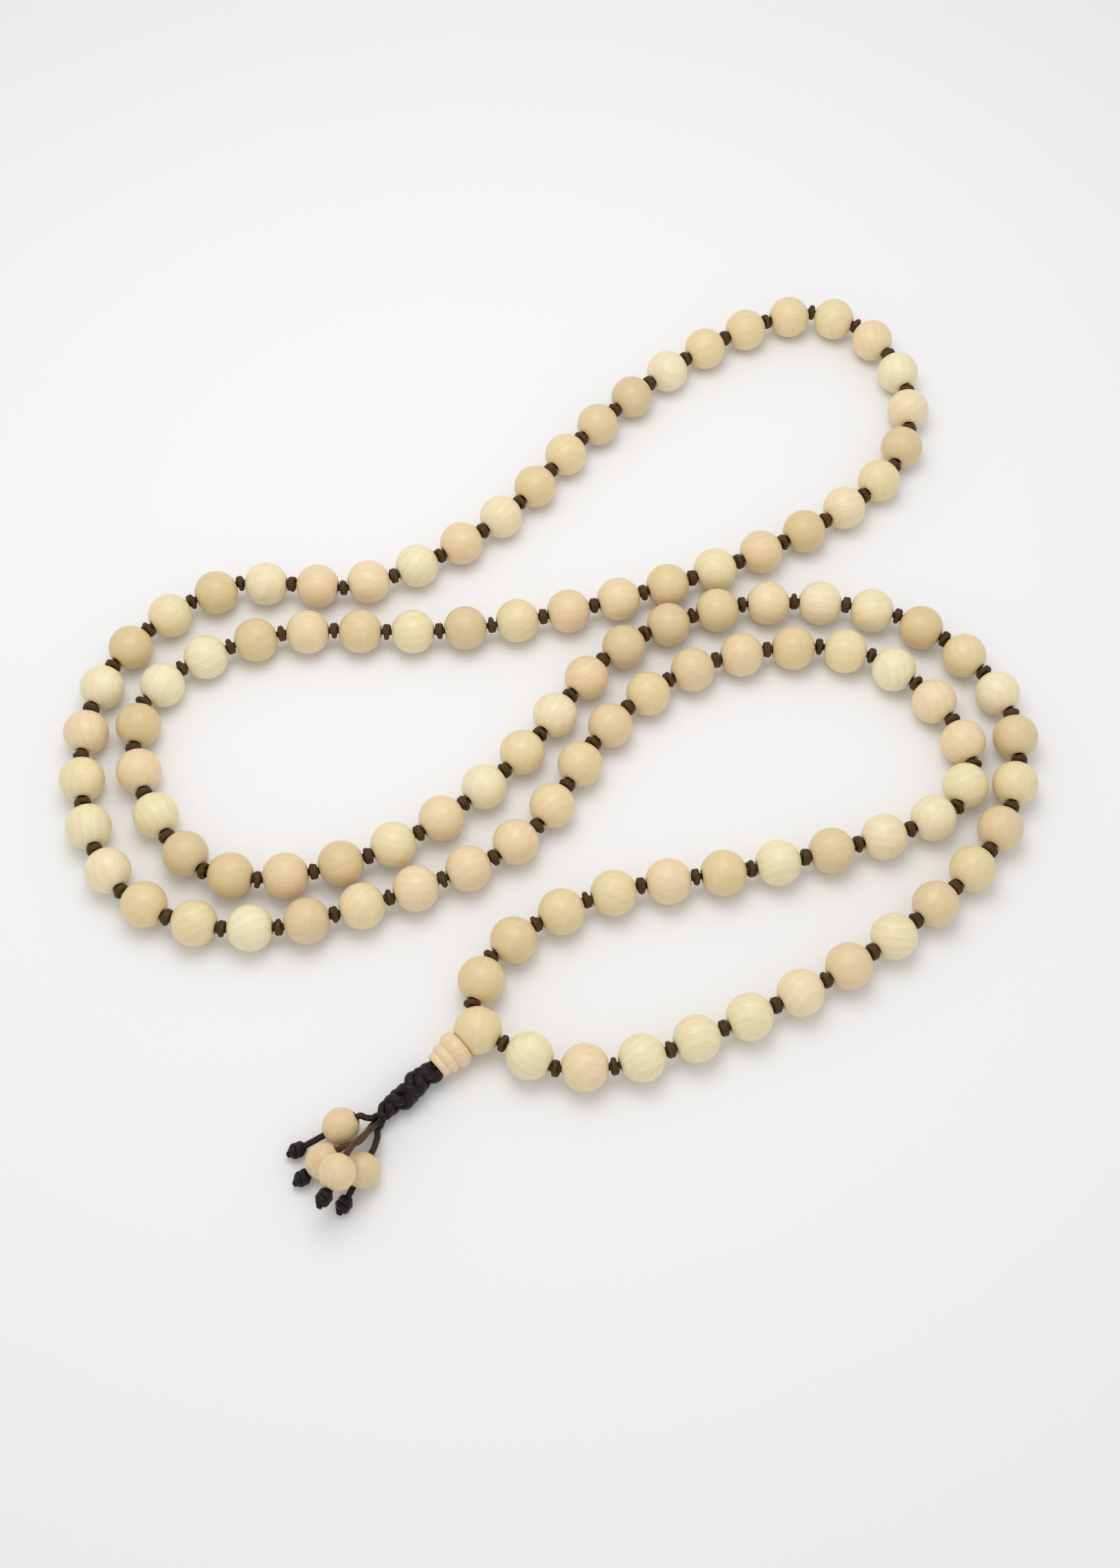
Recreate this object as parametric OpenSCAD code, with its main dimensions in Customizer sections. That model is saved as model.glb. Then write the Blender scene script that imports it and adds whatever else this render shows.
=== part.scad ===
// Mala prayer beads: 108 round wooden beads with a knot between every two, a three-hole guru
// bead, and a tassel of one turned bead, a braid and four beaded strands. The loop lies folded
// on a table. Millimetres, +Z up, z = 0 is the table.

/* [Beads] */
// Diameter of the loop's beads
bead_d = 8; // [7:0.1:8.2]
// Length of a bead along its bore, less than its diameter because the bore ends are flat
bead_length = 7.6; // [6.6:0.1:7.6]
// Diameter of the bore through a bead
bore_d = 1.6; // [1.5:0.1:1.8]
// Diameter of the bore's mouth
bore_mouth_d = 2.2; // [2:0.1:2.4]

/* [Cord] */
// Diameter of the cord
cord_d = 1.1; // [0.8:0.05:1.2]
// Diameter of a knot across the cord
knot_d = 3; // [2.4:0.1:3.2]
// Most length a knot takes up along the cord
knot_length = 1.7; // [1.2:0.1:1.8]

/* [Tassel] */
// Diameter of the four small beads
tassel_bead_d = 6; // [5:0.1:6]
// Diameter of the four strands
strand_d = 1.04; // [0.8:0.02:1.1]
// Diameter of the knot at the end of a strand
end_knot_d = 2.8; // [2.2:0.1:2.8]
// Width of the turned bead next to the guru bead
tower_d = 6.4; // [5.6:0.1:6.4]
// Widest part of the braid
braid_d = 4.6; // [4:0.1:4.6]

/* [Hidden] */
$fn = 48;
cord_sides = 8;
bead_count = 108;
bead_r = bead_d / 2;
guru_reach = 4.8;      // from the guru bead's centre to the knots beside it
samples_per_span = 24; // along the loop
slack = 0.1;           // left between a knot and what is next to it
cord_end_gap = 0.25;   // from a knot's middle to the ends of the cord inside it

// The loop's centre line on the table, from the guru bead out and back again
route = [
    [-11, -64], [6, -71], [33, -62], [59, -47], [79, -27], [83, -3], [67, 16], [39, 20],
    [13, 10], [-6, -14], [-28, -31], [-56, -36], [-71, -18], [-71, 1], [-50, 13], [-18, 14],
    [14, 21], [45, 34], [67, 52], [70, 74], [56, 90], [33, 82], [10, 62], [-10, 38],
    [-34, 24], [-58, 24], [-77, 9], [-82, -14], [-73, -38], [-51, -46], [-24, -39],
    [-3, -28], [12, -5], [32, 8], [58, 9], [74, -8], [71, -23], [42, -33], [8, -40],
    [-11, -53], [-11, -64]
];
guru = [route[0][0], route[0][1], bead_r];

// A point on the smooth curve from b to c, with a and d the points before and after them
function between_points(a, b, c, d, t) =
    0.5 * (2 * b + (c - a) * t + (2 * a - 5 * b + 4 * c - d) * t * t
        + (3 * b - a - 3 * c + d) * t * t * t);

last = len(route) - 1;
function route_point(i) =
    i < 0 ? 2 * route[0] - route[1]
    : i > last ? 2 * route[last] - route[last - 1]
    : route[i];

function span_samples(i) = [
    for (k = [0:samples_per_span - 1])
        between_points(route_point(i - 1), route_point(i), route_point(i + 1),
            route_point(i + 2), k / samples_per_span)
];
line = concat([for (i = [0:last - 1]) each span_samples(i)], [route[last]]);

// How far along the line each of its points lies
run = [
    for (i = 0, s = 0; i < len(line); i = i + 1, s = s + (i < len(line)
        ? norm(line[i] - line[i - 1]) : 0)) s
];
loop_length = run[len(run) - 1];
x_along = [for (i = [0:len(run) - 1]) [run[i], line[i][0]]];
y_along = [for (i = [0:len(run) - 1]) [run[i], line[i][1]]];
pitch = (loop_length - 2 * guru_reach) / bead_count;

// Knot 0 and knot 108 are beside the guru bead; bead i sits between knots i - 1 and i
knots = [
    for (i = [0:bead_count])
        let (s = guru_reach + i * pitch)
            [lookup(s, x_along), lookup(s, y_along), bead_r]
];

// Where each lobe of the loop folds up off the table, and the run of beads in every lobe
fold_knots = [[30, 81], [43, 65], [48, 60], [9, 99], [5, 103]];
all_fold_knots = [for (pair = fold_knots) each pair];

// The tassel's own frame: along its axis in plan, across to its left, and height
tassel_heading = 222;
tassel_droop = 5.5;
tower_lobes = [[4.8, 1, 3.4], [6.9, 0.86, 2.2], [8.3, 0.72, 1.7]];   // place, share of width, length
tower_gap = 0.2;
tower_bore_d = 2.4;
neck_d = 1.6;
neck_bend = [4.05, 5.2];
neck_end = 9.3;
braid_lumps = [[11.2, 0.86, 3.6], [13.3, 1, 2.8], [15.4, 1, 2.8], [17.4, 0.87, 2.6],
    [19.3, 0.66, 2.2]];
strand_start = 20.7;
strand_samples = 7;

// One row per strand: start beside the braid's axis and above it, a point on the way, the bead,
// the end knot, and how far the bead can slide toward the braid
strands = [
    [[-0.8, 0.6], [22.1, -1.1, 3.3], [26.8, -2.6, 3.2], [34.3, -4.7, 1.5], 0.4],
    [[-0.4, -0.6], [26, 1.4, 3.5], [32.5, 0.1, 3.1], [36.5, -0.5, 1.6], 0.3],
    [[0.5, 0.7], [25, 1.8, 6.1], [32.6, 4.4, 7.9], [36.6, 6, 7.3], 0.3],
    [[0.8, -0.5], [23.3, 2.7, 3.3], [28.8, 5.3, 3.1], [34.3, 7.2, 1.5], 0.4]
];

bead_color = [0.88, 0.77, 0.56];
small_bead_color = [0.85, 0.74, 0.54];
cord_color = [0.11, 0.075, 0.065];

// Beads that are nodes of their own, with a joint each; the others are joined into runs
own_beads = [for (part = [[1:9], [49:60], [100:108]]) for (i = part) i];

// ---- Placing ----

function heading(v) = atan2(v[1], v[0]);
function unit(v) = v / norm(v);

// Turns the children's +Z along v
module along(v) {
    rotate([0, acos(v[2] / norm(v)), heading(v)])
        children();
}

module tassel_frame() {
    translate(guru)
        rotate([0, 90 + tassel_droop, tassel_heading])
            children();
}

// ---- Beads ----

// The bore with a countersink at each end, as half a section
module bore_section(length) {
    bore_r = bore_d / 2;
    mouth_r = bore_mouth_d / 2;
    end = length / 2;
    beyond = 1;
    sink = mouth_r - bore_r;
    polygon([
        [0, -end - beyond], [mouth_r + beyond, -end - beyond], [bore_r, -end + sink],
        [bore_r, end - sink], [mouth_r + beyond, end + beyond], [0, end + beyond]
    ]);
}

module bead(diameter, length) {
    rotate_extrude()
        difference() {
            intersection() {
                circle(d = diameter);
                translate([0, -length / 2])
                    square([diameter, length]);
            }
            bore_section(length);
        }
}

module loop_bead(i) {
    color(bead_color)
        translate((knots[i - 1] + knots[i]) / 2)
            along(knots[i] - knots[i - 1])
                bead(bead_d, bead_length);
}

module loop_beads(first, final) {
    for (i = [first:final])
        loop_bead(i);
}

// A round bead with three bores that meet in its middle
module guru_bead() {
    color(bead_color)
        difference() {
            translate(guru)
                sphere(d = bead_d);
            for (k = [knots[0], knots[bead_count]])
                translate(guru)
                    along(k - guru)
                        cylinder(d = bore_d, h = bead_d);
            tassel_frame()
                translate([0, 0, -tower_bore_d / 2])
                    cylinder(d = tower_bore_d, h = bead_d);
        }
}

// ---- Loop cord and its knots ----

// A disc with a rounded rim: half a section through one knot, or one lump of cord
module lump_section(radius, length) {
    ring = radius - length / 2;
    intersection() {
        union() {
            translate([ring, 0])
                circle(d = length);
            translate([0, -length / 2])
                square([ring, length]);
        }
        translate([0, -length / 2])
            square([radius, length]);
    }
}

module lump(radius, length) {
    rotate_extrude()
        lump_section(radius, length);
}

function before(i) = i == 0 ? guru : knots[i - 1];
function after(i) = i == bead_count ? guru : knots[i + 1];
function turn(i) = acos(min(1, unit(knots[i] - before(i)) * unit(after(i) - knots[i])));

// Half the free room at knot i: up to the flat end of the nearer bead, or up to the guru bead
function room(i) =
    let (to_beads = min(norm(knots[i] - before(i)), norm(after(i) - knots[i])) / 2
            - bead_length / 2,
        to_guru = guru_reach - bead_r)
    i == 0 || i == bead_count ? to_guru : to_beads;

// A knot is flatter where the loop turns, so that its rim clears the beads
function knot_size(i) =
    min(knot_length, 2 * (room(i) - slack - (knot_d - knot_length) / 2 * sin(turn(i) / 2)));

module loop_knot(i) {
    translate(knots[i])
        along(unit(knots[i] - before(i)) + unit(after(i) - knots[i]))
            lump(knot_d / 2, knot_size(i));
}

function is_fold(i) = len([for (k = all_fold_knots) if (k == i) k]) > 0;
function trim(i) = is_fold(i) ? knot_size(i) / 2 + slack : cord_end_gap;

// The cord through bead i, from inside one knot to inside the next; beside a knot at which a
// lobe folds it is cut short
module cord_through(i) {
    step = knots[i] - knots[i - 1];
    translate(knots[i - 1] + trim(i - 1) * unit(step))
        along(step)
            cylinder(d = cord_d, h = norm(step) - trim(i - 1) - trim(i));
}

module loop_cord(first, final) {
    color(cord_color) {
        for (i = [first:final])
            cord_through(i);
        for (i = [first - 1:final])
            if (!is_fold(i))
                loop_knot(i);
    }
}

module cord_left() {
    loop_cord(31, 43);
    loop_cord(66, 81);
}

module cord_top() {
    loop_cord(44, 48);
    loop_cord(61, 65);
}

module cord_right() {
    loop_cord(10, 30);
    loop_cord(82, 99);
}

module cord_guru_lobe() {
    loop_cord(6, 9);
    loop_cord(100, 103);
}

// Both ends of the loop's cord, and the three ways they take inside the guru bead
module cord_guru_tip() {
    loop_cord(1, 5);
    loop_cord(104, bead_count);
    color(cord_color) {
        for (k = [knots[0], knots[bead_count]])
            translate(guru)
                along(k - guru)
                    cylinder(d = cord_d, h = guru_reach - cord_end_gap);
        tassel_frame()
            translate([0, 0, -neck_d / 2])
                cylinder(d = neck_d, h = neck_d / 2 + neck_bend[0] - slack / 2);
    }
}

module fold_pair(n) {
    color(cord_color)
        for (i = fold_knots[n])
            loop_knot(i);
}

// ---- Tassel ----

// Three turned lobes, hollowed at the wide end to sit round the guru bead
module tower_bead() {
    hollow_r = bead_r + tower_gap;
    color(bead_color)
        tassel_frame()
            difference() {
                rotate_extrude()
                    for (lobe = tower_lobes)
                        translate([0, lobe[0]])
                            lump_section(lobe[1] * tower_d / 2, lobe[2]);
                cylinder(d = tower_bore_d, h = 3 * bead_d, center = true);
                sphere(r = hollow_r);
            }
}

module neck_bend_cord() {
    color(cord_color)
        tassel_frame()
            translate([0, 0, neck_bend[0]])
                cylinder(d = neck_d, h = neck_bend[1] - neck_bend[0] - slack / 2);
}

module neck_cord() {
    color(cord_color)
        tassel_frame()
            translate([0, 0, neck_bend[1]])
                cylinder(d = neck_d, h = neck_end - neck_bend[1]);
}

module braid() {
    color(cord_color)
        tassel_frame()
            rotate_extrude()
                for (b = braid_lumps)
                    translate([0, b[0]])
                        lump_section(b[1] * braid_d / 2, b[2]);
}

// From [along, across, height] in the tassel's frame to the table's frame
function tassel_point(p) =
    let (c = cos(tassel_heading), s = sin(tassel_heading))
        [guru[0] + c * p[0] - s * p[1], guru[1] + s * p[0] + c * p[1], p[2]];

function strand_row(n) = strands[n - 1];
function strand_first(n) =
    tassel_point([strand_start * cos(tassel_droop), strand_row(n)[0][0],
        bead_r - strand_start * sin(tassel_droop) + strand_row(n)[0][1]]);
function strand_via(n) = tassel_point(strand_row(n)[1]);
function strand_bead(n) = tassel_point(strand_row(n)[2]);
function strand_knot(n) = tassel_point(strand_row(n)[3]);
function strand_axis(n) = unit(strand_bead(n) - strand_knot(n));
function strand_back(n) =
    strand_bead(n) + (tassel_bead_d / 2 + strand_row(n)[4]) * strand_axis(n);

// Out of the braid, over one point on the way, then straight through the bead to the end knot
function strand_path(n) =
    let (a = strand_first(n), b = strand_via(n), c = strand_back(n),
        out = tassel_point([1, 0, -tan(tassel_droop)]) - tassel_point([0, 0, 0]),
        start = b - 2 * norm(b - a) * unit(out),
        finish = b - 2 * norm(c - b) * strand_axis(n))
    concat(
        [for (k = [0:strand_samples - 1])
            between_points(start, a, b, c, k / strand_samples)],
        [for (k = [0:strand_samples]) between_points(a, b, c, finish, k / strand_samples)],
        [strand_knot(n)]
    );

// A round tube along a path, its rings square to the path and not twisted
module tube(path, diameter) {
    n = len(path);
    tangents = [for (i = [0:n - 1]) unit(path[min(i + 1, n - 1)] - path[max(i - 1, 0)])];
    rings = [
        for (i = [0:n - 1])
            let (side = unit(cross(tangents[i], [0, 0, 1])), top = cross(side, tangents[i]))
            for (k = [0:cord_sides - 1])
                let (a = 360 * k / cord_sides)
                path[i] + diameter / 2 * (side * cos(a) + top * sin(a))
    ];
    walls = [
        for (i = [0:n - 2], k = [0:cord_sides - 1])
            let (next = (k + 1) % cord_sides, row = i * cord_sides)
            [row + k, row + next, row + cord_sides + next, row + cord_sides + k]
    ];
    polyhedron(
        rings,
        concat(walls, [[for (k = [cord_sides - 1:-1:0]) k]],
            [[for (k = [0:cord_sides - 1]) (n - 1) * cord_sides + k]]),
        convexity = 6
    );
}

module strand(n) {
    color(cord_color) {
        tube(strand_path(n), strand_d);
        translate(strand_knot(n))
            sphere(d = end_knot_d);
    }
}

module tassel_bead(n) {
    color(small_bead_color)
        translate(strand_bead(n))
            along(strand_axis(n))
                bead(tassel_bead_d, tassel_bead_d * bead_length / bead_d);
}

// ---- Nodes ----

loop_beads(31, 43);  // beads_left_out
loop_beads(66, 81);  // beads_left_back
loop_beads(44, 48);  // beads_top_out
loop_beads(61, 65);  // beads_top_back
loop_beads(10, 30);  // beads_right_out
loop_beads(82, 99);  // beads_right_back
for (i = own_beads)
    loop_bead(i);
guru_bead();
cord_left();
cord_top();
loop_cord(49, 60);  // cord_tip
cord_right();
cord_guru_lobe();
cord_guru_tip();
fold_pair(0);  // fold_left_right
fold_pair(1);  // fold_left_top
fold_pair(2);  // fold_top_tip
fold_pair(3);  // fold_right_guru
fold_pair(4);  // fold_guru_tip
neck_cord();
neck_bend_cord();
tower_bead();
braid();
for (n = [1:len(strands)]) {
    strand(n);
    tassel_bead(n);
}
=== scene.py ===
"""Looks of the mala prayer beads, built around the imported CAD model.

Metres, +Z up, z = 0 is the table. The loop's route and the sizes are those of the CAD source,
but the braid and the start of its strands reach 1.2 mm further.
"""

import math

import bpy
import numpy as np
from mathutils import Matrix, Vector


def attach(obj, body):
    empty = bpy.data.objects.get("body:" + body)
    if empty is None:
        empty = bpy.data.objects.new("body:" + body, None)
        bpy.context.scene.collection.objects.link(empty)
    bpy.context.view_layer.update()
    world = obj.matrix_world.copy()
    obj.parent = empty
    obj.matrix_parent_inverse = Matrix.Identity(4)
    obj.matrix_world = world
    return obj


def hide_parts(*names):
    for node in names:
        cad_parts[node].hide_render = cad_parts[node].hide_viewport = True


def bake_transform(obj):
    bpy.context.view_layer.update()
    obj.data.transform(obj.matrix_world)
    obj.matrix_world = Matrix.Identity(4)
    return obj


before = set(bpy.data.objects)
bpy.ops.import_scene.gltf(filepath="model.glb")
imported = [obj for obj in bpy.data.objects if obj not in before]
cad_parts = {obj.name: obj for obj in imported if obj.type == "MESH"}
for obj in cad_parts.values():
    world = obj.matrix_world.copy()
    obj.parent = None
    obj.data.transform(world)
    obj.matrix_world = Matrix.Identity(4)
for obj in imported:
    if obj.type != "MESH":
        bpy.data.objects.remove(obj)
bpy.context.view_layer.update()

# ---- Sizes ----

BEAD_D = 0.008
BEAD_LENGTH = 0.0076
BORE_D = 0.0016
MOUTH_D = 0.0022
BEAD_COUNT = 108
GURU_REACH = 0.0048        # from the guru bead's centre to the knots beside it
CORD_D = 0.0011
KNOT_D = 0.003
KNOT_LENGTH = 0.0017
KNOT_CORD_D = 0.001        # the cord is squeezed thinner where it is knotted
KNOT_SEED = 1000
SLACK = 0.0001              # between a knot and the beads beside it
STRAIGHT_INSET = 0.15       # share of a straight part of cord that is left out beside a knot

TASSEL_HEADING = math.radians(222)
TASSEL_DROOP = math.radians(5.5)
TASSEL_BEAD_D = 0.006
STRAND_D = 0.00104
END_KNOT_D = 0.0028
END_KNOT_CORD_D = 0.0013   # drawn so tight that its turns run together
NECK_D = 0.0016
NECK_SPAN = (0.0005, 0.0115)   # distances from the guru bead's centre along the tassel's axis
TOWER_D = 0.0064
TOWER_START = 0.0031
TOWER_BORE_D = 0.0024
TOWER_HOLLOW_R = 0.0042    # sits round the guru bead
TOWER_MOUTH_D = 0.0038     # the bore opens into the hollow, which leaves the cord room to bend
TOWER_MOUTH_LENGTH = 0.001
# The turned lobes: place along the axis, share of TOWER_D, length
TOWER_LOBES = [(0.0048, 1, 0.0034), (0.0069, 0.86, 0.0022), (0.0083, 0.72, 0.0017)]
TOWER_SEED = 300
GURU_SEED = 400
SMALL_BEAD_SEED = 200
BRAID_D = 0.0046

# The loop's centre line on the table, from the guru bead out and back again
ROUTE = [
    (-0.011, -0.064), (0.006, -0.071), (0.033, -0.062), (0.059, -0.047), (0.079, -0.027),
    (0.083, -0.003), (0.067, 0.016), (0.039, 0.020), (0.013, 0.010), (-0.006, -0.014),
    (-0.028, -0.031), (-0.056, -0.036), (-0.071, -0.018), (-0.071, 0.001), (-0.050, 0.013),
    (-0.018, 0.014), (0.014, 0.021), (0.045, 0.034), (0.067, 0.052), (0.070, 0.074),
    (0.056, 0.090), (0.033, 0.082), (0.010, 0.062), (-0.010, 0.038), (-0.034, 0.024),
    (-0.058, 0.024), (-0.077, 0.009), (-0.082, -0.014), (-0.073, -0.038), (-0.051, -0.046),
    (-0.024, -0.039), (-0.003, -0.028), (0.012, -0.005), (0.032, 0.008), (0.058, 0.009),
    (0.074, -0.008), (0.071, -0.023), (0.042, -0.033), (0.008, -0.040), (-0.011, -0.053),
    (-0.011, -0.064),
]
GURU = np.array([*ROUTE[0], BEAD_D / 2])

# Runs of beads and of the cord through them: name, body, first bead, last bead
BEAD_RUNS = [
    ("beads_left_out", "left_lobe", 31, 43),
    ("beads_left_back", "left_lobe", 66, 81),
    ("beads_top_out", "top_lobe", 44, 48),
    ("beads_top_back", "top_lobe", 61, 65),
    ("beads_right_out", "right_span", 10, 30),
    ("beads_right_back", "right_span", 82, 99),
]
SINGLE_BEADS = [
    ("top_tip", range(49, 61)),
    ("guru_lobe", [*range(6, 10), *range(100, 104)]),
    ("guru_tip", [*range(1, 6), *range(104, 109)]),
]
CORD_RUNS = [
    ("cord_left_out", "left_lobe", "cord_left", 31, 43),
    ("cord_left_back", "left_lobe", "cord_left", 66, 81),
    ("cord_top_out", "top_lobe", "cord_top", 44, 48),
    ("cord_top_back", "top_lobe", "cord_top", 61, 65),
    ("cord_tip_run", "top_tip", "cord_tip", 49, 60),
    ("cord_right_out", "right_span", "cord_right", 10, 30),
    ("cord_right_back", "right_span", "cord_right", 82, 99),
    ("cord_lobe_out", "guru_lobe", "cord_guru_lobe", 6, 9),
    ("cord_lobe_back", "guru_lobe", "cord_guru_lobe", 100, 103),
    ("cord_guru_out", "guru_tip", "cord_guru_tip", 1, 5),
    ("cord_guru_back", "guru_tip", "cord_guru_tip", 104, 108),
]

# Knots at which a lobe folds: node, body that stays, body that folds, and for each of the two
# knots whether the folding body has the beads after it (1) or before it (-1)
FOLDS = [
    ("fold_left_right", "left_lobe", "right_span", [(30, -1), (81, 1)]),
    ("fold_left_top", "left_lobe", "top_lobe", [(43, 1), (65, -1)]),
    ("fold_top_tip", "top_lobe", "top_tip", [(48, 1), (60, -1)]),
    ("fold_right_guru", "right_span", "guru_lobe", [(9, -1), (99, 1)]),
    ("fold_guru_tip", "guru_lobe", "guru_tip", [(5, -1), (103, 1)]),
]

# The tassel's strands. beside is where a strand leaves the braid, across and above its axis;
# via, bead and knot are its points in the tassel's frame of (along, across, height) from under
# the guru bead; winds is its sense round the braid; and shade is how brown its free part is
STRAND_START = 0.0219
STRAND_STRAIGHT = 0.0003           # the straight part before its bead
STRANDS = [
    {"beside": (-0.0004, 0.0006), "via": (0.0229, -0.0009, 0.0033),
     "bead": (0.0268, -0.0026, 0.0032), "knot": (0.0343, -0.0047, 0.0015),
     "winds": 1, "shade": 0.2},
    {"beside": (0, -0.0006), "via": (0.0262, 0.0014, 0.0034),
     "bead": (0.0325, 0.0001, 0.0031), "knot": (0.0365, -0.0005, 0.0016),
     "winds": -1, "shade": 0.6},
    {"beside": (0.0008, 0.0006), "via": (0.0254, 0.0019, 0.0058),
     "bead": (0.0326, 0.0044, 0.0079), "knot": (0.0366, 0.006, 0.0073),
     "winds": -1, "shade": 0.8},
    {"beside": (0.0011, -0.0004), "via": (0.0238, 0.0029, 0.0031),
     "bead": (0.0288, 0.0053, 0.0031), "knot": (0.0343, 0.0072, 0.0015),
     "winds": 1, "shade": 0.15},
]

# The braid: where it starts, how far apart its crossings are, its width along the axis as a
# share of BRAID_D, and how thick its strands are as a share of the width
BRAID_START = 0.0092
BRAID_CROSSING = 0.0016
BRAID_WIDTHS = [(0.0092, 0.75), (0.0097, 0.95), (0.0112, 0.98), (0.013, 1.04), (0.0155, 1.05),
                (0.0178, 0.92), (0.02, 0.68), (0.0219, 0.5)]
BRAID_FULLNESS = 0.43


# ---- Curves ----

def unit(v):
    return v / np.linalg.norm(v)


def between_points(a, b, c, d, t):
    """A point on the smooth curve from b to c, with a and d the points before and after them."""
    return 0.5 * (2 * b + (c - a) * t + (2 * a - 5 * b + 4 * c - d) * t**2
                  + (3 * b - a - 3 * c + d) * t**3)


def smooth_line(points, samples, before=None, after=None):
    """A smooth curve through the points, with that many samples between every two."""
    points = [np.array(p, float) for p in points]
    first = 2 * points[0] - points[1] if before is None else before
    last = 2 * points[-1] - points[-2] if after is None else after
    padded = [first, *points, last]
    line = [
        between_points(*padded[i:i + 4], k / samples)
        for i in range(len(points) - 1)
        for k in range(samples)
    ]
    return np.array([*line, points[-1]])


def distances(line):
    """How far along the line each of its points lies."""
    return np.concatenate([[0], np.cumsum(np.linalg.norm(np.diff(line, axis=0), axis=1))])


def find_knots():
    """Knot 0 and knot 108 are beside the guru bead; bead i sits between knots i - 1 and i."""
    line = smooth_line(ROUTE, 24)
    run = distances(line)
    places = np.linspace(GURU_REACH, run[-1] - GURU_REACH, BEAD_COUNT + 1)
    flat = [np.interp(places, run, line[:, k]) for k in range(2)]
    return np.stack([*flat, np.full(BEAD_COUNT + 1, BEAD_D / 2)], axis=1)


KNOTS = find_knots()


def neighbour(i):
    """Knot i, or the guru bead where there is no such knot."""
    return KNOTS[i] if 0 <= i <= BEAD_COUNT else GURU


def turned_to(direction):
    """A rotation that takes +z to the direction, which isn't vertical."""
    z = unit(direction)
    x = unit(np.cross([0, 0, 1], z))
    return np.stack([x, np.cross(z, x), z], axis=1)


def rotation(axis, angle):
    """A rotation about x (0), y (1) or z (2)."""
    made = np.eye(3)
    a, b = (axis + 1) % 3, (axis + 2) % 3
    made[a, a] = made[b, b] = math.cos(angle)
    made[b, a] = math.sin(angle)
    made[a, b] = -made[b, a]
    return made


# ---- Tassel frame ----

TASSEL_ALONG = np.array([math.cos(TASSEL_HEADING), math.sin(TASSEL_HEADING), 0])
TASSEL_ACROSS = np.array([-TASSEL_ALONG[1], TASSEL_ALONG[0], 0])
UP = np.array([0, 0, 1.0])
TASSEL_AXIS = math.cos(TASSEL_DROOP) * TASSEL_ALONG - math.sin(TASSEL_DROOP) * UP
TASSEL_UP = np.cross(TASSEL_AXIS, TASSEL_ACROSS)


def tassel_point(p):
    """From (along, across, height) in the tassel's frame to the table's frame."""
    return GURU * [1, 1, 0] + p[0] * TASSEL_ALONG + p[1] * TASSEL_ACROSS + p[2] * UP


# ---- Camera, light and floor ----

CAMERA_TARGET = Vector((0.0025, -0.018, 0.004))
CAMERA_ELEVATION = math.radians(61.5)
CAMERA_DISTANCE = 0.342
CAMERA_LENS = 44.8
WORLD_STRENGTH = 0.75
SOFTBOX = {"place": (-0.02, 0.05, 0.3), "size": 0.2, "power": 0.34}
FLOOR_REACH = 8
FLOOR_HEIGHT = -0.00002    # just under the beads, so that nothing is drawn twice


def paint(red, green, blue):
    """A colour from its usual 0 to 255 values."""
    shares = [c / 255 for c in (red, green, blue)]
    return (*[c / 12.92 if c < 0.04045 else ((c + 0.055) / 1.055)**2.4 for c in shares], 1)


def make_camera():
    data = bpy.data.cameras.new("camera")
    data.lens = CAMERA_LENS
    data.clip_start = 0.01
    camera = bpy.data.objects.new("camera", data)
    back = Vector((0, -math.cos(CAMERA_ELEVATION), math.sin(CAMERA_ELEVATION)))
    camera.location = CAMERA_TARGET + CAMERA_DISTANCE * back
    camera.rotation_euler = (math.pi / 2 - CAMERA_ELEVATION, 0, 0)
    bpy.context.scene.collection.objects.link(camera)
    bpy.context.scene.camera = camera


def make_softbox(name, place, size, power):
    """A square area light that faces the middle of the table."""
    data = bpy.data.lights.new(name, "AREA")
    data.size = size
    data.energy = power
    light = bpy.data.objects.new(name, data)
    light.location = place
    light.rotation_euler = (-Vector(place)).to_track_quat("-Z", "Y").to_euler()
    bpy.context.scene.collection.objects.link(light)


def make_world(strength):
    world = bpy.data.worlds.new("studio")
    world.use_nodes = True
    background = world.node_tree.nodes["Background"]
    background.inputs["Color"].default_value = (1, 1, 1, 1)
    background.inputs["Strength"].default_value = strength
    bpy.context.scene.world = world


make_camera()
make_world(WORLD_STRENGTH)
make_softbox("overhead", **SOFTBOX)
bpy.context.scene.view_settings.view_transform = "Standard"


# ---- Materials ----

def add_node(tree, kind, inputs=None, **settings):
    """A shader node with its settings made and its inputs set, or linked to other nodes."""
    made = tree.nodes.new("ShaderNode" + kind)
    for name, value in settings.items():
        setattr(made, name, value)
    for name, value in (inputs or {}).items():
        if isinstance(value, bpy.types.NodeSocket):
            tree.links.new(value, made.inputs[name])
        else:
            made.inputs[name].default_value = value
    return made


def calculate(tree, operation, a, b=0.0):
    return add_node(tree, "Math", {0: a, 1: b}, operation=operation).outputs[0]


def blend_colors(tree, share, a, b, blend_type="MIX"):
    node = add_node(tree, "Mix", {0: share, 6: a, 7: b}, data_type="RGBA",
                    blend_type=blend_type)
    return node.outputs[2]


def ramp(tree, value, stops):
    """Colours at places from 0 to 1."""
    node = add_node(tree, "ValToRGB", {"Fac": value})
    elements = node.color_ramp.elements
    while len(elements) < len(stops):
        elements.new(1)
    for element, (place, color) in zip(elements, stops):
        element.position = place
        element.color = color
    return node.outputs["Color"]


def between(tree, value, low, high):
    """A value from 0 to 1, moved to a range."""
    return add_node(tree, "MapRange", {"Value": value, "To Min": low, "To Max": high}).outputs[0]


def attribute(tree, name, output):
    return add_node(tree, "Attribute", attribute_name=name).outputs[output]


def stretched(tree, vector, scale):
    """A vector, scaled separately along x, y and z."""
    return add_node(tree, "Mapping", {"Vector": vector, "Scale": scale}).outputs[0]


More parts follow.
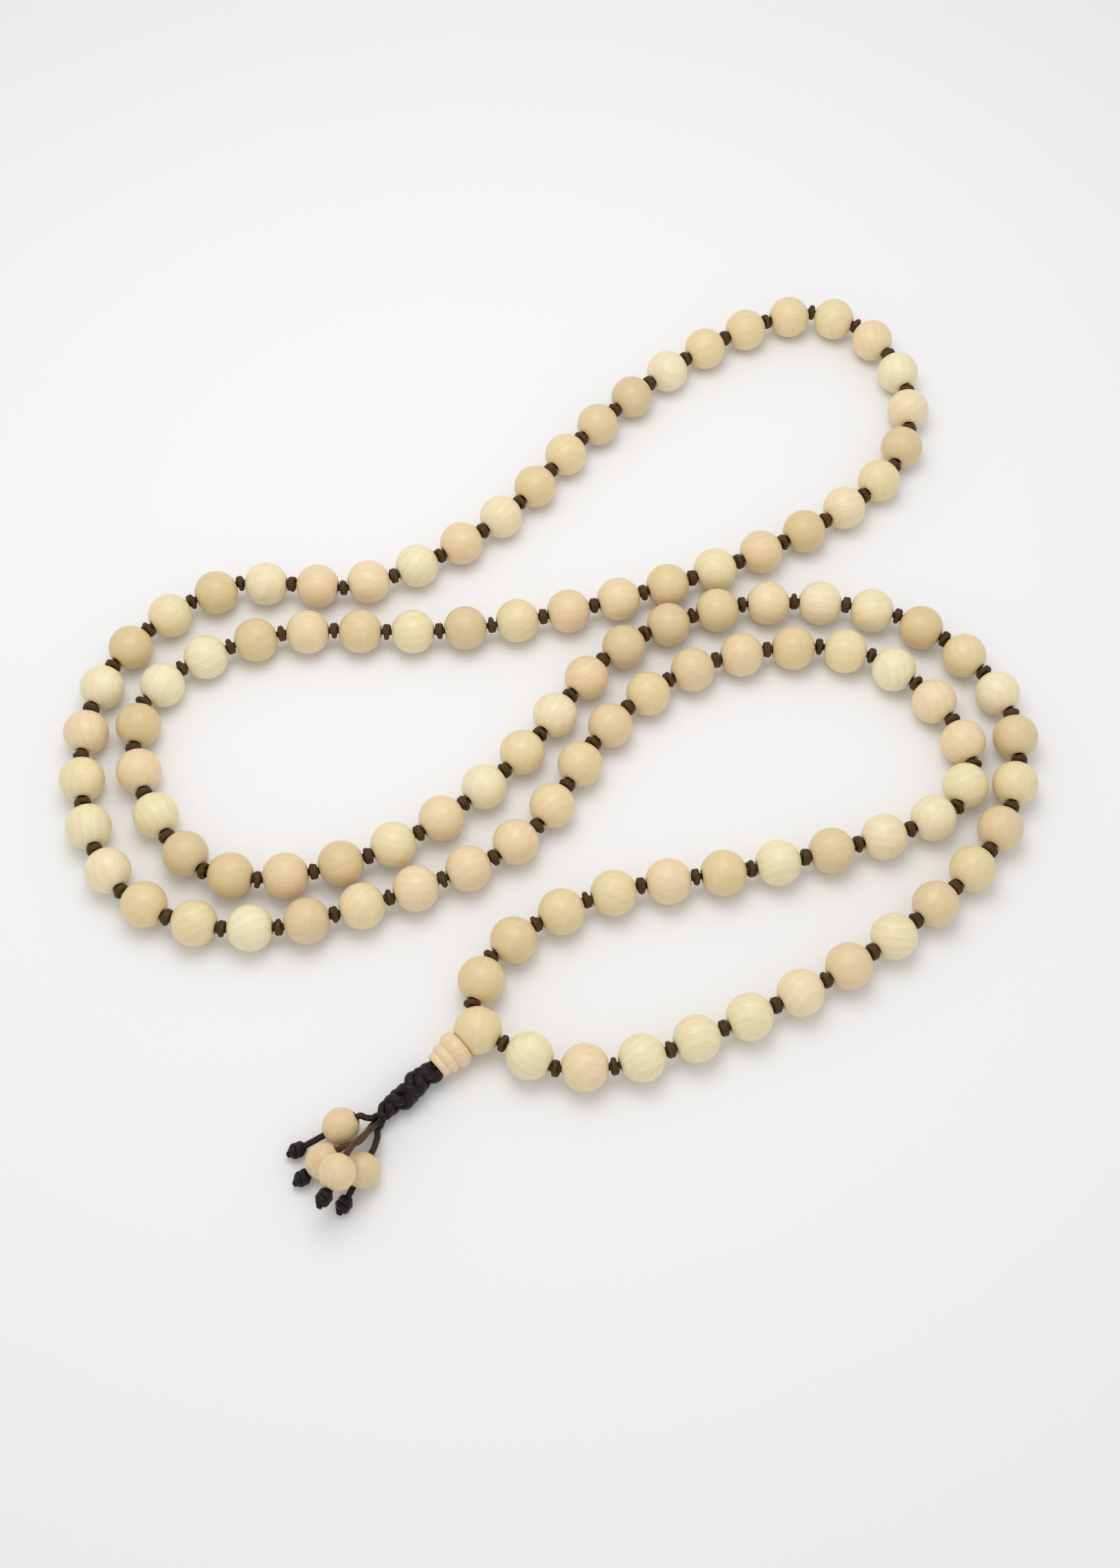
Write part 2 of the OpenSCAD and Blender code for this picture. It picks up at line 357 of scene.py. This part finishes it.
def noise(tree, vector, scale, detail=3.0, roughness=0.55):
    return add_node(tree, "TexNoise", {
        "Vector": vector, "Scale": scale, "Detail": detail, "Roughness": roughness,
    }).outputs[0]


def new_material(name, **constants):
    """A material, its node tree and its shader, with the shader's constant values set."""
    material = bpy.data.materials.new(name)
    material.use_nodes = True
    shader = material.node_tree.nodes["Principled BSDF"]
    for socket, value in constants.items():
        shader.inputs[socket.replace("_", " ")].default_value = value
    return material, material.node_tree, shader


def wood_material(name, tones):
    """Polished pale wood. The grain attribute is each bead's own wood in millimetres, with the
    trunk along z, and tone its place among the tones."""
    material, tree, shader = new_material(name, Specular_IOR_Level=0.45, Coat_Weight=0.3,
                                          Coat_Roughness=0.28)
    grain = attribute(tree, "grain", "Vector")
    rings = add_node(tree, "TexWave", {
        "Vector": grain, "Scale": 0.2, "Distortion": 3.2, "Detail": 2.0, "Detail Scale": 0.6,
    }, wave_type="RINGS", rings_direction="Z", wave_profile="SAW").outputs[0]
    fibres = noise(tree, stretched(tree, grain, (5, 5, 0.5)), 1.0, detail=4.0)
    pores = noise(tree, stretched(tree, grain, (11, 11, 1.1)), 1.0, detail=1.0)
    patches = noise(tree, grain, 0.28, detail=1.0)
    pore_marks = add_node(tree, "MapRange", {
        "Value": pores, "From Min": 0.62, "From Max": 0.74,
    }).outputs[0]

    base = ramp(tree, attribute(tree, "tone", "Fac"), tones)
    warm = blend_colors(tree, between(tree, patches, -0.2, 0.55), base,
                        paint(240, 212, 172))
    late_wood = blend_colors(tree, calculate(tree, "MULTIPLY", rings, 0.2), warm,
                             paint(214, 186, 132))
    streaked = blend_colors(tree, 1.0, late_wood,
                            ramp(tree, fibres, [(0.3, (0.92, 0.91, 0.88, 1)),
                                                (0.62, (1, 1, 1, 1))]), "MULTIPLY")
    color = blend_colors(tree, calculate(tree, "MULTIPLY", pore_marks, 0.22), streaked,
                         paint(168, 130, 84))
    height = calculate(tree, "SUBTRACT", calculate(tree, "MULTIPLY", fibres, 0.5),
                       calculate(tree, "MULTIPLY", pore_marks, 0.6))
    bump = add_node(tree, "Bump", {"Height": height, "Strength": 0.25, "Distance": 0.00006})
    tree.links.new(color, shader.inputs["Base Color"])
    tree.links.new(between(tree, fibres, 0.36, 0.52), shader.inputs["Roughness"])
    tree.links.new(bump.outputs[0], shader.inputs["Normal"])
    return material


def cord_material():
    """Dark brown waxed cord, plaited fine. The section attribute is (cosine, sine) round the cord
    and millimetres along it, and shade says how brown it is."""
    material, tree, shader = new_material("waxed_cord", Specular_IOR_Level=0.2,
                                          Coat_Weight=0.06, Coat_Roughness=0.3)
    section = attribute(tree, "section", "Vector")
    parts = add_node(tree, "SeparateXYZ", {0: section}).outputs
    around = calculate(tree, "MULTIPLY", calculate(tree, "ARCTAN2", parts[1], parts[0]), 4.0)
    along = calculate(tree, "MULTIPLY", parts[2], 7.0)
    left = calculate(tree, "SINE", calculate(tree, "ADD", around, along))
    right = calculate(tree, "SINE", calculate(tree, "SUBTRACT", around, along))
    plait = calculate(tree, "MULTIPLY", left, right)
    fibres = noise(tree, stretched(tree, section, (3, 3, 4)), 1.0, detail=3.0)
    brown = noise(tree, stretched(tree, section, (0.2, 0.2, 0.3)), 1.0, detail=1.0)

    shade = calculate(tree, "MULTIPLY", attribute(tree, "shade", "Fac"),
                      between(tree, brown, 0.2, 1.5))
    color = ramp(tree, shade, [(0.0, paint(20, 14, 15)), (0.35, paint(80, 56, 20)),
                               (1.0, paint(84, 58, 38))])
    worn = blend_colors(tree, calculate(tree, "MULTIPLY", fibres, 0.14), color,
                        paint(72, 52, 36))
    raised = calculate(tree, "ADD", calculate(tree, "MULTIPLY", plait, 0.5), fibres)
    bump = add_node(tree, "Bump", {"Height": raised, "Strength": 0.35, "Distance": 0.00005})
    tree.links.new(worn, shader.inputs["Base Color"])
    tree.links.new(between(tree, fibres, 0.34, 0.62), shader.inputs["Roughness"])
    tree.links.new(bump.outputs[0], shader.inputs["Normal"])
    return material


def floor_material():
    """A plain pale table with a barely uneven finish."""
    material, tree, shader = new_material("table", Specular_IOR_Level=0.2)
    place = add_node(tree, "NewGeometry").outputs["Position"]
    cloudy = noise(tree, place, 3.0, detail=1.0)
    color = ramp(tree, cloudy, [(0.0, paint(240, 240, 242)), (1.0, paint(243, 243, 244))])
    tree.links.new(color, shader.inputs["Base Color"])
    tree.links.new(between(tree, cloudy, 0.6, 0.7), shader.inputs["Roughness"])
    return material


BEAD_WOOD = wood_material("bead_wood", [
    (0.0, paint(220, 196, 144)), (0.15, paint(236, 216, 166)), (0.3, paint(242, 228, 180)),
    (0.5, paint(249, 240, 202)), (0.7, paint(244, 222, 182)), (0.85, paint(238, 212, 170)),
    (1.0, paint(216, 194, 150)),
])
SMALL_BEAD_WOOD = wood_material("small_bead_wood", [
    (0.0, paint(222, 198, 156)), (1.0, paint(236, 208, 162)),
])
WAXED_CORD = cord_material()


# ---- Meshes ----

ON_AXIS_R = 0.00001    # stands for 0 where a turned outline has to have some radius


def new_piece(name, vertices, faces, material):
    """A smooth-shaded mesh object of that material. The faces are lists of vertex numbers."""
    mesh = bpy.data.meshes.new(name)
    mesh.from_pydata(np.asarray(vertices).tolist(), [], faces)
    mesh.polygons.foreach_set("use_smooth", [True] * len(mesh.polygons))
    mesh.materials.append(material)
    piece = bpy.data.objects.new(name, mesh)
    bpy.context.scene.collection.objects.link(piece)
    return piece


def set_numbers(piece, name, values):
    """A number for each vertex, which the material reads."""
    made = piece.data.attributes.new(name, "FLOAT", "POINT")
    made.data.foreach_set("value", np.asarray(values, np.float32))


def set_vectors(piece, name, values):
    """A vector for each vertex, which the material reads."""
    made = piece.data.attributes.new(name, "FLOAT_VECTOR", "POINT")
    made.data.foreach_set("vector", np.asarray(values, np.float32).ravel())


def ring_faces(rings, sides, closed):
    """Quads between rings of vertices, and from the last ring to the first if closed."""
    row = np.arange(rings if closed else rings - 1)[:, None]
    side = np.arange(sides)[None, :]
    after, beside = (row + 1) % rings, (side + 1) % sides
    corners = [row * sides + side, row * sides + beside, after * sides + beside,
               after * sides + side]
    return np.stack(np.broadcast_arrays(*corners), axis=-1).reshape(-1, 4)


def turned_solid(outline, segments=40):
    """Vertices and faces of a solid turned about z from a closed outline of (radius, height),
    which runs up the outside and down the inside."""
    outline = np.array(outline)
    angles = np.arange(segments) * 2 * math.pi / segments
    radius, height = outline[:, 0], outline[:, 1]
    vertices = np.stack([
        np.outer(np.cos(angles), radius),
        np.outer(np.sin(angles), radius),
        np.broadcast_to(height, (segments, len(outline))),
    ], axis=-1).reshape(-1, 3)
    faces = ring_faces(segments, len(outline), closed=True)
    return vertices, faces[:, ::-1]


def tube(path, radii, sides=12):
    """Vertices and faces of a round tube along a path, and each vertex's place on its section."""
    path = np.asarray(path)
    tangents = np.array([unit(t) for t in np.gradient(path, axis=0)])
    side = unit(np.cross(tangents[0], UP))
    around = np.arange(sides) * 2 * math.pi / sides
    circle = np.stack([np.cos(around), np.sin(around)], axis=1)
    rings = []
    for centre, tangent, radius in zip(path, tangents, radii):
        side = unit(side - side @ tangent * tangent)
        rings.append(centre + radius * circle @ np.stack([side, np.cross(tangent, side)]))
    count = len(path)
    walls = ring_faces(count, sides, closed=False).tolist()
    ends = [list(range(sides))[::-1], list(range((count - 1) * sides, count * sides))]
    along = np.repeat(distances(path) * 1000, sides)[:, None]
    section = np.hstack([np.tile(circle, (count, 1)), along])
    return np.concatenate(rings), walls + ends, section


# ---- Cords ----

def knot_path(size, width, cord_r, turns=1.5):
    """The cord's way through a tight knot along +z: up the middle, out, down round itself, and up
    the middle again. It wraps itself a whole number of turns and a half."""
    core = 0.9 * cord_r
    coil_r = width / 2 - cord_r
    coil_z = size / 2 - cord_r
    steps = round(8 * turns)
    enter = [(0, 0, -size / 2), (core, 0, -0.2 * size), (core, 0, 0.15 * size)]
    coil = []
    for k in range(steps + 1):
        angle = 2 * math.pi * turns * k / steps
        height = 1 - 2 * k / steps
        bulge = coil_r * math.cos(0.8 * coil_z / coil_r * height)
        coil.append((bulge * math.cos(angle), bulge * math.sin(angle), coil_z * height))
    leave = [(-x, y, -z) for x, y, z in enter[::-1]]
    return smooth_line([*enter, *coil, *leave], 3)


def knot_radii(count, outside, inside):
    """The cord's radius along a knot, from the radius outside it to the one inside it and back."""
    along = np.linspace(0, 1, count)
    edge = np.clip(np.minimum(along, 1 - along) / 0.08, 0, 1)
    return outside + (inside - outside) * edge


def turn_at(i):
    """The angle by which the loop turns at knot i."""
    into = unit(KNOTS[i] - neighbour(i - 1))
    out_of = unit(neighbour(i + 1) - KNOTS[i])
    return math.acos(min(1, into @ out_of))


def knot_size(i):
    """A knot's length: it is flatter where the loop turns, so that it clears the beads."""
    if i in (0, BEAD_COUNT):
        room = GURU_REACH - BEAD_D / 2
    else:
        spans = [np.linalg.norm(KNOTS[i] - neighbour(k)) for k in (i - 1, i + 1)]
        room = min(spans) / 2 - BEAD_LENGTH / 2
    tilt = (KNOT_D - KNOT_LENGTH) / 2 * math.sin(turn_at(i) / 2)
    return min(KNOT_LENGTH, 2 * (room - SLACK - tilt))


def loop_knot(i):
    """Path and radii of the cord through knot i, each knot rolled and tilted a little differently."""
    rng = np.random.default_rng(KNOT_SEED + i)
    direction = unit(KNOTS[i] - neighbour(i - 1)) + unit(neighbour(i + 1) - KNOTS[i])
    roll = rotation(2, rng.uniform(0, 2 * math.pi))
    tilt = rotation(0, math.radians(rng.uniform(-7, 7)))
    path = knot_path(knot_size(i), KNOT_D * rng.uniform(0.96, 1.03), KNOT_CORD_D / 2)
    path = KNOTS[i] + path @ (turned_to(direction) @ tilt @ roll).T
    return path, knot_radii(len(path), CORD_D / 2, KNOT_CORD_D / 2)


def joined(parts):
    """Parts of a path with their radii, one after the other."""
    paths, radii = zip(*parts)
    return np.concatenate(paths), np.concatenate(radii)


def straight(a, b):
    """A straight part of the loop's cord."""
    share = np.array([[0], [0.5], [1]])
    return a + share * (b - a), np.full(len(share), CORD_D / 2)


def part_way(a, b):
    """The point beside a, on the way to b, at which a straight part of the cord stops."""
    return a + STRAIGHT_INSET * (b - a)


def new_cord(name, path, radii, shade):
    vertices, faces, section = tube(path, radii)
    piece = new_piece(name, vertices, faces, WAXED_CORD)
    set_vectors(piece, "section", section)
    set_numbers(piece, "shade", np.repeat(shade, len(vertices) // np.size(shade)))
    return piece


def bead_middle(i):
    return (KNOTS[i - 1] + KNOTS[i]) / 2


def loop_cord_path(first, final):
    """From the middle of bead first to the middle of bead final, through the knots between; from
    or to the guru bead's middle at the ends of the loop."""
    start = GURU if first == 1 else bead_middle(first)
    finish = GURU if final == BEAD_COUNT else bead_middle(final)
    knots = range(first - (first == 1), final + (final == BEAD_COUNT))
    parts = []
    for i in knots:
        path, radii = loop_knot(i)
        last = parts[-1][0][-1] if parts else start
        leaves = part_way(last, path[0]) if parts else start
        parts.append(straight(leaves, part_way(path[0], last)))
        parts.append((path, radii))
    last = parts[-1][0][-1]
    parts.append(straight(part_way(last, finish), finish))
    return joined(parts)


def make_loop_cord(name, body, node, first, final):
    path, radii = loop_cord_path(first, final)
    piece = new_cord(name, path, radii, 0.35)
    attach(piece, body)
    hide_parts(node)


def make_fold_knot(node, i):
    """A knot at which a lobe folds, with the cord as far as the middle of the beads beside it."""
    path, radii = loop_knot(i)
    before, after = bead_middle(i), bead_middle(i + 1)
    parts = [straight(before, part_way(path[0], before)), (path, radii),
             straight(part_way(path[-1], after), after)]
    piece = new_cord(f"knot_{i}", *joined(parts), 0.35)
    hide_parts(node)
    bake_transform(piece)


# ---- Tassel ----

def braid_path(n):
    """Path and radii of strand n through the braid: two strands wind to the left and two to the
    right, over and under each other in turn, and end where the strands start."""
    across, above = STRANDS[n - 1]["beside"]
    sense = STRANDS[n - 1]["winds"]
    places, widths = zip(*BRAID_WIDTHS)
    distance = np.linspace(BRAID_START, STRAND_START, 64)
    reach = np.interp(distance, places, widths) * BRAID_D / 2
    radii = np.maximum(STRAND_D / 2, BRAID_FULLNESS * reach)
    swing = (distance - STRAND_START) * math.pi / 2 / BRAID_CROSSING
    angle = math.atan2(above, across) + sense * swing
    away = (BRAID_FULLNESS - sense * 0.14 * np.sin(2 * swing)) * reach
    plaited = away[:, None] * np.stack([np.cos(angle), np.sin(angle)], axis=1)
    settled = np.clip((distance - STRAND_START) / BRAID_CROSSING + 1, 0, 1)[:, None]
    beside = (1 - settled**2) * plaited + settled**2 * np.array([across, above])
    path = (GURU + distance[:, None] * TASSEL_AXIS + beside[:, :1] * TASSEL_ACROSS
            + beside[:, 1:] * TASSEL_UP)
    return path, radii


def strand_places(n):
    """Bead centre, end knot centre, and the direction from the knot to the bead, of strand n."""
    bead, knot = [tassel_point(STRANDS[n - 1][place]) for place in ("bead", "knot")]
    return bead, knot, unit(bead - knot)


def strand_paths(n):
    """Strand n's paths with their radii: from the braid over one point to the bead, and, straight
    on from there, through the end knot to a short end."""
    across, above = STRANDS[n - 1]["beside"]
    radius = STRAND_D / 2
    bead, knot, axis = strand_places(n)
    first = tassel_point((STRAND_START * math.cos(TASSEL_DROOP), across,
                          GURU[2] - STRAND_START * math.sin(TASSEL_DROOP) + above))
    via = tassel_point(STRANDS[n - 1]["via"])
    back = bead + (TASSEL_BEAD_D / 2 + STRAND_STRAIGHT) * axis
    start = via - 2 * np.linalg.norm(via - first) * TASSEL_AXIS
    finish = via - 2 * np.linalg.norm(back - via) * axis
    free = smooth_line([first, via, back], 12, before=start, after=finish)[1:]
    turns = knot + knot_path(END_KNOT_D, END_KNOT_D, END_KNOT_CORD_D / 2) @ turned_to(-axis).T
    tail = turns[-1] - np.outer([0.0001, 0.0003, 0.00045, 0.0005], axis)
    tail_radii = np.array([1, 1, 0.7, 0.2]) * radius
    knotted = joined([(turns, knot_radii(len(turns), radius, END_KNOT_CORD_D / 2)),
                      (tail, tail_radii)])
    return (free, np.full(len(free), radius)), knotted


def make_strand(n):
    """One strand, black where it is plaited and knotted and browner where it lies free."""
    parts = [braid_path(n), *strand_paths(n)]
    braid_count, free_count, knot_count = [len(path) for path, _ in parts]
    browner = STRANDS[n - 1]["shade"] * np.clip(np.linspace(0, 4, free_count), 0, 1)
    shade = np.concatenate([np.zeros(braid_count), browner, np.zeros(knot_count)])
    path, radii = joined(parts)
    piece = new_cord(f"tassel_strand_{n}", path, radii, shade)
    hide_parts("braid", f"strand_{n}")
    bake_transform(piece)


def make_neck():
    """The cord's doubled ends on their way from the guru bead through the tower bead."""
    distance = np.linspace(*NECK_SPAN, 34)
    piece = new_cord("tassel_neck", GURU + distance[:, None] * TASSEL_AXIS,
                     np.full(len(distance), NECK_D / 2), 0.3)
    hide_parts("neck_cord", "neck_bend_cord")
    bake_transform(piece)


# ---- Beads ----

def bead_outline(diameter, length):
    """Half a section through a bead: the round outside, the flat ends, the countersinks and the
    bore, with softened edges."""
    end = length / 2
    bore_r, mouth_r = BORE_D / 2, MOUTH_D / 2
    soft = 0.00004
    widest = math.asin(length / diameter)
    latitudes = np.linspace(-widest, widest, 25)
    outside = [(diameter / 2 * math.cos(a), diameter / 2 * math.sin(a)) for a in latitudes]
    sink = end - (mouth_r - bore_r)
    inside = [(mouth_r + soft, end), (mouth_r - soft, end - soft / 2), (bore_r + soft, sink + soft),
              (bore_r, sink - soft)]
    return outside + inside + [(r, -z) for r, z in inside[::-1]]


def add_wood(piece, bead_vertices, seeds):
    """Gives each bead of a piece its own wood: how it was cut from the trunk, and its tone."""
    grain, tones = [], []
    for vertices, seed in zip(bead_vertices, seeds):
        rng = np.random.default_rng(seed)
        cut = rotation(0, rng.uniform(-0.6, 0.6)) @ rotation(1, rng.uniform(-0.6, 0.6))
        place = [rng.uniform(15, 60), rng.uniform(-30, 30), rng.uniform(0, 400)]
        grain.append(vertices * 1000 @ cut.T + place)
        tones.append(np.full(len(vertices), rng.uniform(0, 1)))
    set_vectors(piece, "grain", np.concatenate(grain))
    set_numbers(piece, "tone", np.concatenate(tones))


def make_turned(name, body, node, outline, places, seeds, material):
    """One piece of one or more turned beads at places of (centre, direction)."""
    vertices, faces = turned_solid(outline)
    placed = [centre + vertices @ turned_to(direction).T for centre, direction in places]
    all_faces = np.concatenate([faces + k * len(vertices) for k in range(len(places))])
    piece = new_piece(name, np.concatenate(placed), all_faces.tolist(), material)
    add_wood(piece, [vertices] * len(places), seeds)
    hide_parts(node)
    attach(piece, body)
    return piece


def make_loop_beads(name, body, beads):
    places = [(bead_middle(i), KNOTS[i] - KNOTS[i - 1]) for i in beads]
    make_turned(f"{name}_wood", body, name, bead_outline(BEAD_D, BEAD_LENGTH), places, beads,
                BEAD_WOOD)


def make_tassel_bead(n):
    length = TASSEL_BEAD_D * BEAD_LENGTH / BEAD_D
    bead, _, axis = strand_places(n)
    return make_turned(f"tassel_bead_{n}_wood", f"tassel_bead_{n}", f"tassel_bead_{n}",
                       bead_outline(TASSEL_BEAD_D, length), [(bead, axis)],
                       [SMALL_BEAD_SEED + n], SMALL_BEAD_WOOD)


def tower_outline():
    """Half a section through the turned tower bead: three lobes outside, a bore, and a hollow that
    sits round the guru bead."""
    bore_r = TOWER_BORE_D / 2
    top = TOWER_LOBES[-1][0] + TOWER_LOBES[-1][2] / 2
    soft = 0.00015
    outside = []
    for height in np.arange(TOWER_START, top, 0.00006):
        reach = 0
        for place, share, length in TOWER_LOBES:
            rounding = length / 2
            if abs(height - place) < rounding:
                edge = math.sqrt(rounding**2 - (height - place)**2)
                reach = max(reach, share * TOWER_D / 2 - rounding + edge)
        if math.hypot(reach, height) > TOWER_HOLLOW_R and reach > bore_r + soft:
            outside.append((reach, height))
    rim = math.atan2(outside[0][0], outside[0][1])
    mouth = math.asin(TOWER_MOUTH_D / 2 / TOWER_HOLLOW_R)
    hollow = [(TOWER_HOLLOW_R * math.sin(a), TOWER_HOLLOW_R * math.cos(a))
              for a in np.linspace(mouth, rim, 8)[:-1]]
    mouth_end = TOWER_HOLLOW_R * math.cos(mouth) + TOWER_MOUTH_LENGTH
    return hollow + outside + [(bore_r, top - soft), (bore_r, mouth_end)]


def make_tower():
    make_turned("tower_wood", "tower", "tower_bead", tower_outline(), [(GURU, TASSEL_AXIS)],
                [TOWER_SEED], BEAD_WOOD)


def cutter(direction, bore_r):
    """A bore from the middle of the guru bead outward, with a countersunk mouth."""
    mouth = BEAD_D / 2
    sink = 0.0003
    outline = [(ON_AXIS_R, -bore_r), (bore_r, -bore_r), (bore_r, mouth - sink),
               (bore_r + 2 * sink, mouth + sink), (bore_r + 2 * sink, 2 * mouth),
               (ON_AXIS_R, 2 * mouth)]
    vertices, faces = turned_solid(outline)
    return new_piece("cutter", GURU + vertices @ turned_to(direction).T, faces.tolist(),
                     BEAD_WOOD)


def make_guru_bead():
    """A round bead with three bores that meet in its middle."""
    latitudes = np.linspace(-math.pi / 2, math.pi / 2, 49)[1:-1]
    ball = [(BEAD_D / 2 * math.cos(a), BEAD_D / 2 * math.sin(a)) for a in latitudes]
    poles = [(ON_AXIS_R, -BEAD_D / 2), (ON_AXIS_R, BEAD_D / 2)]
    vertices, faces = turned_solid([poles[0], *ball, poles[1]], 64)
    piece = new_piece("guru_wood", GURU + vertices, faces.tolist(), BEAD_WOOD)
    bores = [(KNOTS[0] - GURU, BORE_D / 2), (KNOTS[-1] - GURU, BORE_D / 2),
             (TASSEL_AXIS, TOWER_BORE_D / 2)]
    cutters = [cutter(*bore) for bore in bores]
    for tool in cutters:
        made = piece.modifiers.new(tool.name, "BOOLEAN")
        made.object = tool
        made.solver = "EXACT"
    bpy.context.view_layer.update()
    graph = bpy.context.evaluated_depsgraph_get()
    cut = bpy.data.meshes.new_from_object(piece.evaluated_get(graph))
    piece.modifiers.clear()
    piece.data = cut
    for tool in cutters:
        bpy.data.objects.remove(tool)
    cut.set_sharp_from_angle(angle=math.radians(40))
    local = np.array([v.co for v in cut.vertices]) - GURU
    add_wood(piece, [local], [GURU_SEED])
    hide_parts("guru_bead")
    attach(piece, "guru_tip")


def make_floor():
    corners = [(x * FLOOR_REACH, y * FLOOR_REACH, FLOOR_HEIGHT)
               for x, y in ((-1, -1), (1, -1), (1, 1), (-1, 1))]
    new_piece("table_top", corners, [(0, 1, 2, 3)], floor_material())


tassel_beads = [make_tassel_bead(n) for n in range(1, len(STRANDS) + 1)]
for run in CORD_RUNS:
    make_loop_cord(*run)
for node, stays, folds, knots in FOLDS:
    for knot, side in knots:
        make_fold_knot(node, knot)
for n, bead_piece in enumerate(tassel_beads, 1):
    make_strand(n)
make_neck()

for name, body, first, final in BEAD_RUNS:
    make_loop_beads(name, body, range(first, final + 1))
for body, beads in SINGLE_BEADS:
    for i in beads:
        make_loop_beads(f"bead_{i}", f"bead_{i}", [i])
make_guru_bead()
make_tower()
make_floor()
